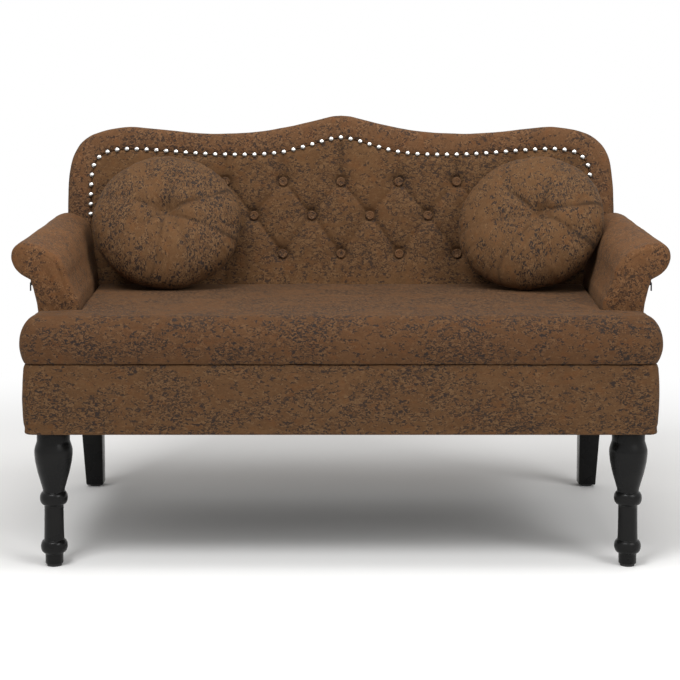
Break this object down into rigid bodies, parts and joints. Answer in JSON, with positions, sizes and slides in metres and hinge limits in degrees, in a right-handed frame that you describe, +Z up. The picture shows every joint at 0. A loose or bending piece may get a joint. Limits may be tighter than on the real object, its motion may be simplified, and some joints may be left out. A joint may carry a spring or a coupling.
{
  "type": "upholstered bench",
  "caption": "Small upholstered bench with rolled arms, a buttoned serpentine back with a nailed border, turned front legs and two loose round cushions.",
  "frame": {"origin": "on the floor under the middle of the bench's bounding box", "axes": "+X to the right as seen from the front, +Y towards the back, +Z up"},
  "size_m": [1.125, 0.645, 0.7571],
  "materials": {
    "suede": "brown imitation suede with a dark broken grain",
    "cushion_suede": "the same cloth on the cushions and the tuft buttons",
    "foam": "soft polyurethane foam or fibre filling",
    "black_cloth": "thin black cloth",
    "black_wood": "turned and sawn wood with satin black lacquer",
    "plywood": "plain plywood and sawn softwood",
    "steel": "zinc-plated steel",
    "black_plastic": "black nylon",
    "black_metal": "black enamelled metal",
    "nickel": "polished nickel"
  },
  "bodies": {
    "bench": {"seat_front_rail": "plywood", "seat_back_rail": "plywood", "seat_side_rail_left": "plywood", "seat_side_rail_right": "plywood", "seat_cross_rail": "plywood", "corner_blocks": "plywood", "seat_deck": "plywood", "seat_foam": "foam", "seat_cover": "suede", "apron_front": "suede", "apron_side_left": "suede", "apron_side_right": "suede", "apron_back": "suede", "dust_cover": "black_cloth", "front_leg_left": "black_wood", "front_leg_right": "black_wood", "back_leg_left": "black_wood", "back_leg_right": "black_wood", "leg_plates": "steel", "leg_bolts": "steel", "plate_screws": "steel", "leg_glides": "black_plastic", "arm_batten_left": "plywood", "arm_batten_right": "plywood", "arm_board_left": "plywood", "arm_board_right": "plywood", "arm_foam_left": "foam", "arm_foam_right": "foam", "arm_cover_left": "suede", "arm_cover_right": "suede", "arm_bolts": "steel", "zip_tape_left": "black_cloth", "zip_tape_right": "black_cloth", "back_crest_board": "plywood", "back_side_board_left": "plywood", "back_side_board_right": "plywood", "back_bottom_board": "plywood", "back_foam": "foam", "back_panel": "plywood", "back_post_left": "plywood", "back_post_middle": "plywood", "back_post_right": "plywood", "back_cover": "suede", "back_border": "suede", "outside_back": "suede", "back_buttons": "cushion_suede", "back_nails": "nickel", "back_brackets": "steel", "bracket_bolts": "steel"},
    "cushion_left": {"cushion_cover_left": "cushion_suede", "cushion_filling_left": "foam"},
    "cushion_right": {"cushion_cover_right": "cushion_suede", "cushion_filling_right": "foam"},
    "zip_slider_left": {"zip_slider_left": "black_metal"},
    "zip_slider_right": {"zip_slider_right": "black_metal"},
    "zip_pull_left": {"zip_pull_left": "black_metal"},
    "zip_pull_right": {"zip_pull_right": "black_metal"}
  },
  "joints": [
    {"name": "cushion_left_lift", "type": "slide", "parent": "bench", "child": "cushion_left", "axis": [0, -0.45, 0.893], "range_m": [0, 0.4]},
    {"name": "cushion_right_lift", "type": "slide", "parent": "bench", "child": "cushion_right", "axis": [0, -0.45, 0.893], "range_m": [0, 0.4]},
    {"name": "zip_left_slide", "type": "slide", "parent": "bench", "child": "zip_slider_left", "axis": [0, 1, 0], "range_m": [0, 0.29]},
    {"name": "zip_left_pull", "type": "hinge", "parent": "zip_slider_left", "child": "zip_pull_left", "pos_m": [-0.5306, -0.2045, 0.4705], "axis": [1, 0, 0], "range_deg": [-85, 85]},
    {"name": "zip_right_slide", "type": "slide", "parent": "bench", "child": "zip_slider_right", "axis": [0, 1, 0], "range_m": [0, 0.29]},
    {"name": "zip_right_pull", "type": "hinge", "parent": "zip_slider_right", "child": "zip_pull_right", "pos_m": [0.5306, -0.2045, 0.4705], "axis": [1, 0, 0], "range_deg": [-85, 85]}
  ]
}
